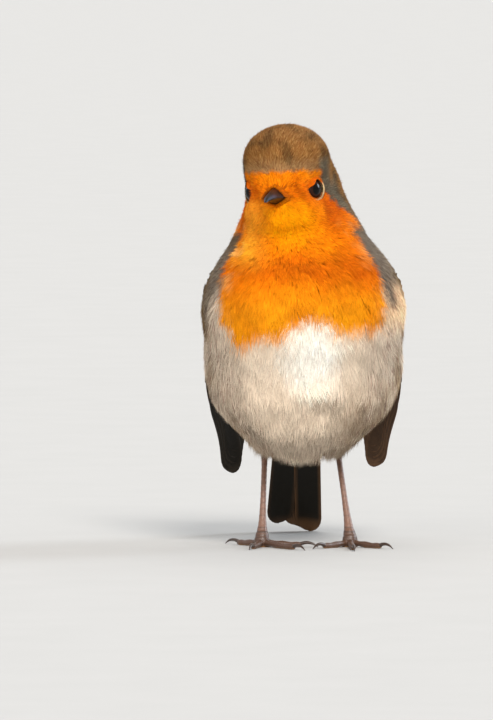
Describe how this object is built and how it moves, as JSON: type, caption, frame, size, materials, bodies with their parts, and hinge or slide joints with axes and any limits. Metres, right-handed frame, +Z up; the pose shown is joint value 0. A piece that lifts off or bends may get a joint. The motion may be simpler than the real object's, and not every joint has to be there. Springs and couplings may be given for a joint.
{
  "type": "robin",
  "caption": "Life-size songbird standing alert on both feet, with drooped wings, lowered tail and orange face and breast.",
  "frame": {"origin": "on the floor under the middle of the bird's bounding box", "axes": "+Z up, the bird looks along -Y, its own left side is +X"},
  "size_m": [0.0524, 0.1053, 0.1091],
  "materials": {
    "head_plumage": "soft matte feathers, olive-brown crown over an orange face",
    "neck_plumage": "soft matte feathers, orange in front, grey and brown behind",
    "body_plumage": "soft matte feathers, orange breast, white belly, buff flanks, brown back",
    "covert_plumage": "matte brown feathers with paler edges",
    "wing_plumage": "smooth matte flight feathers, dark brown with paler edges",
    "tail_plumage": "smooth matte dark brown feathers",
    "thigh_plumage": "downy grey-olive feathers",
    "bill_horn": "smooth dark horn",
    "eye_gloss": "wet gloss, near black",
    "leg_skin": "fine scaly skin, pinkish brown",
    "claw_horn": "smooth dark horn"
  },
  "bodies": {
    "root": {"eye_left": "eye_gloss", "eye_right": "eye_gloss", "bill_upper": "bill_horn", "bill_lower": "bill_horn", "head": "head_plumage", "neck": "neck_plumage", "trunk": "body_plumage", "wing_left_coverts": "covert_plumage", "wing_left_secondaries": "wing_plumage", "wing_left_primaries": "wing_plumage", "wing_right_coverts": "covert_plumage", "wing_right_secondaries": "wing_plumage", "wing_right_primaries": "wing_plumage", "tail": "tail_plumage", "thigh_left": "thigh_plumage", "tarsus_left": "leg_skin", "toe_left_hallux": "leg_skin", "claw_left_hallux": "claw_horn", "toe_left_inner": "leg_skin", "claw_left_inner": "claw_horn", "toe_left_middle": "leg_skin", "claw_left_middle": "claw_horn", "toe_left_outer": "leg_skin", "claw_left_outer": "claw_horn", "thigh_right": "thigh_plumage", "tarsus_right": "leg_skin", "toe_right_hallux": "leg_skin", "claw_right_hallux": "claw_horn", "toe_right_inner": "leg_skin", "claw_right_inner": "claw_horn", "toe_right_middle": "leg_skin", "claw_right_middle": "claw_horn", "toe_right_outer": "leg_skin", "claw_right_outer": "claw_horn"}
  },
  "joints": []
}
